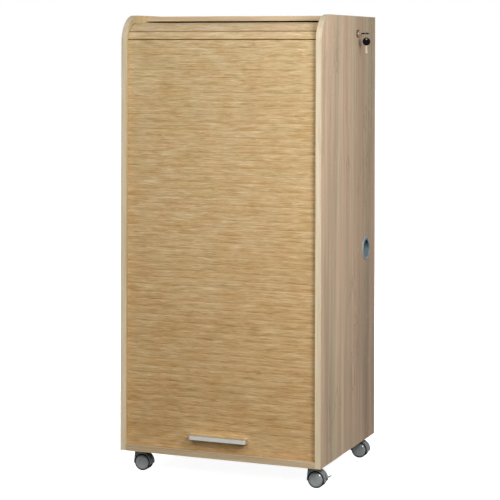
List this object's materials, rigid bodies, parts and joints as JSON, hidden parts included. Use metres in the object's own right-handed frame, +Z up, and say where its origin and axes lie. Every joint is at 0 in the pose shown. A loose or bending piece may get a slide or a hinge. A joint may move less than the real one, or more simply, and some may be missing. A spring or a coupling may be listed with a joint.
{
  "type": "mobile roller shutter bedside cabinet",
  "caption": "Tall mobile bedside storage cabinet with a roller shutter front, straight pull handle, side key lock, side cable outlet, inner shelves and swivelling twin-wheel castors.",
  "frame": {"origin": "centre of the carcass underside, 53 mm above the floor the castors stand on", "axes": "+Z up, +X to the right seen from the front, the shutter front faces -Y"},
  "size_m": [0.5541, 0.424, 1.118],
  "materials": {
    "side_decor": "matt sonoma-oak pattern foil on chipboard, vertical grain",
    "edge_decor": "pale plastic edging with light oak print",
    "top_decor": "matt light oak foil on chipboard",
    "inside_decor": "matt light oak foil on chipboard",
    "shutter_decor": "satin golden-oak foil, fine horizontal grain",
    "canvas": "woven backing cloth",
    "hardboard": "thin pressed board, smooth face",
    "aluminium": "satin anodised",
    "steel": "zinc-plated",
    "lock_metal": "aged bronze-coloured plating",
    "key_metal": "nickel-plated",
    "key_plastic": "glossy black",
    "outlet_plastic": "light grey, fine texture",
    "outlet_cap_plastic": "blue-grey, fine texture",
    "hood_plastic": "mid grey nylon, smooth moulded",
    "wheel_plastic": "mid grey nylon, smooth glossy discs"
  },
  "bodies": {
    "carcass": {"side_panel_left": "side_decor", "side_panel_right": "side_decor", "side_edging_left": "edge_decor", "side_edging_right": "edge_decor", "bottom_board": "top_decor", "bottom_edging": "edge_decor", "top_board": "top_decor", "top_edging": "edge_decor", "back_panel": "hardboard", "inner_back": "inside_decor", "inner_top": "inside_decor", "shelf_lower": "inside_decor", "shelf_middle": "inside_decor", "shelf_upper": "inside_decor", "shutter_front": "shutter_decor", "bend_slat_1": "shutter_decor", "bend_slat_2": "shutter_decor", "bend_slat_3": "shutter_decor", "bend_canvas": "canvas", "shutter_top_run": "shutter_decor", "tail_bar": "aluminium", "lock_body": "lock_metal", "lock_rosette": "lock_metal", "outlet_sleeve": "outlet_plastic", "stem_front_left": "steel", "stem_front_right": "steel", "stem_rear_left": "steel", "stem_rear_right": "steel"},
    "shutter_rail": {"lead_rail": "shutter_decor", "handle": "aluminium", "handle_screw_left": "steel", "handle_screw_right": "steel"},
    "lock_cylinder": {"lock_plug": "steel", "lock_cam": "steel", "lock_cam_nut": "steel", "key_blade": "key_metal", "key_bow": "key_plastic"},
    "ring": {"key_ring": "key_metal"},
    "spare_key": {"spare_key_blade": "key_metal", "spare_key_bow": "key_plastic"},
    "outlet_cover": {"outlet_cap": "outlet_cap_plastic"},
    "castor_front_left": {"hood_front_left": "hood_plastic", "axle_front_left": "steel"},
    "outer_wheel_front_left": {"wheel_outer_front_left": "wheel_plastic"},
    "inner_wheel_front_left": {"wheel_inner_front_left": "wheel_plastic"},
    "castor_front_right": {"hood_front_right": "hood_plastic", "axle_front_right": "steel"},
    "outer_wheel_front_right": {"wheel_outer_front_right": "wheel_plastic"},
    "inner_wheel_front_right": {"wheel_inner_front_right": "wheel_plastic"},
    "brake_lever_front_right": {"brake_front_right": "wheel_plastic"},
    "castor_rear_left": {"hood_rear_left": "hood_plastic", "axle_rear_left": "steel"},
    "outer_wheel_rear_left": {"wheel_outer_rear_left": "wheel_plastic"},
    "inner_wheel_rear_left": {"wheel_inner_rear_left": "wheel_plastic"},
    "brake_lever_rear_left": {"brake_rear_left": "wheel_plastic"},
    "castor_rear_right": {"hood_rear_right": "hood_plastic", "axle_rear_right": "steel"},
    "outer_wheel_rear_right": {"wheel_outer_rear_right": "wheel_plastic"},
    "inner_wheel_rear_right": {"wheel_inner_rear_right": "wheel_plastic"}
  },
  "joints": [
    {"name": "shutter_slide", "type": "slide", "parent": "carcass", "child": "shutter_rail", "axis": [0, 0, 1], "range_m": [0, 0.9], "deforming": ["shutter_front"]},
    {"name": "lock_turn", "type": "hinge", "parent": "carcass", "child": "lock_cylinder", "pos_m": [0.2595, 0.0632, 1.0216], "axis": [1, 0, 0], "range_deg": [0, 90]},
    {"name": "key_ring_tilt", "type": "hinge", "parent": "lock_cylinder", "child": "ring", "pos_m": [0.2848, 0.0632, 1.0216], "axis": [0, 1, 0], "range_deg": [-20, 10]},
    {"name": "spare_key_hang", "type": "hinge", "parent": "ring", "child": "spare_key", "pos_m": [0.2848, 0.0563, 1.0174], "axis": [1, 0, 0], "range_deg": [-90, 0]},
    {"name": "outlet_cap_turn", "type": "hinge", "parent": "carcass", "child": "outlet_cover", "pos_m": [0.2595, 0.1327, 0.482], "axis": [1, 0, 0], "continuous": true},
    {"name": "swivel_front_left", "type": "hinge", "parent": "carcass", "child": "castor_front_left", "pos_m": [-0.226, -0.1633, -0.01], "axis": [0, 0, 1], "continuous": true},
    {"name": "roll_outer_front_left", "type": "hinge", "parent": "castor_front_left", "child": "outer_wheel_front_left", "pos_m": [-0.2155, -0.1633, -0.033], "axis": [0, 1, 0], "continuous": true},
    {"name": "roll_inner_front_left", "type": "hinge", "parent": "castor_front_left", "child": "inner_wheel_front_left", "pos_m": [-0.2155, -0.1633, -0.033], "axis": [0, 1, 0], "continuous": true},
    {"name": "swivel_front_right", "type": "hinge", "parent": "carcass", "child": "castor_front_right", "pos_m": [0.226, -0.1633, -0.01], "axis": [0, 0, 1], "continuous": true},
    {"name": "roll_outer_front_right", "type": "hinge", "parent": "castor_front_right", "child": "outer_wheel_front_right", "pos_m": [0.2365, -0.1633, -0.033], "axis": [0, 1, 0], "continuous": true},
    {"name": "roll_inner_front_right", "type": "hinge", "parent": "castor_front_right", "child": "inner_wheel_front_right", "pos_m": [0.2365, -0.1633, -0.033], "axis": [0, 1, 0], "continuous": true},
    {"name": "brake_press_front_right", "type": "hinge", "parent": "castor_front_right", "child": "brake_lever_front_right", "pos_m": [0.2538, -0.1633, -0.0306], "axis": [0, 1, 0], "range_deg": [0, 35]},
    {"name": "swivel_rear_left", "type": "hinge", "parent": "carcass", "child": "castor_rear_left", "pos_m": [-0.226, 0.1633, -0.01], "axis": [0, 0, 1], "continuous": true},
    {"name": "roll_outer_rear_left", "type": "hinge", "parent": "castor_rear_left", "child": "outer_wheel_rear_left", "pos_m": [-0.2155, 0.1633, -0.033], "axis": [0, 1, 0], "continuous": true},
    {"name": "roll_inner_rear_left", "type": "hinge", "parent": "castor_rear_left", "child": "inner_wheel_rear_left", "pos_m": [-0.2155, 0.1633, -0.033], "axis": [0, 1, 0], "continuous": true},
    {"name": "brake_press_rear_left", "type": "hinge", "parent": "castor_rear_left", "child": "brake_lever_rear_left", "pos_m": [-0.1982, 0.1633, -0.0306], "axis": [0, 1, 0], "range_deg": [0, 35]},
    {"name": "swivel_rear_right", "type": "hinge", "parent": "carcass", "child": "castor_rear_right", "pos_m": [0.226, 0.1633, -0.01], "axis": [0, 0, 1], "continuous": true},
    {"name": "roll_outer_rear_right", "type": "hinge", "parent": "castor_rear_right", "child": "outer_wheel_rear_right", "pos_m": [0.2365, 0.1633, -0.033], "axis": [0, 1, 0], "continuous": true},
    {"name": "roll_inner_rear_right", "type": "hinge", "parent": "castor_rear_right", "child": "inner_wheel_rear_right", "pos_m": [0.2365, 0.1633, -0.033], "axis": [0, 1, 0], "continuous": true}
  ],
  "couplings": [
    {"joint": "spare_key_hang", "follows": "lock_turn", "ratio": -1}
  ]
}
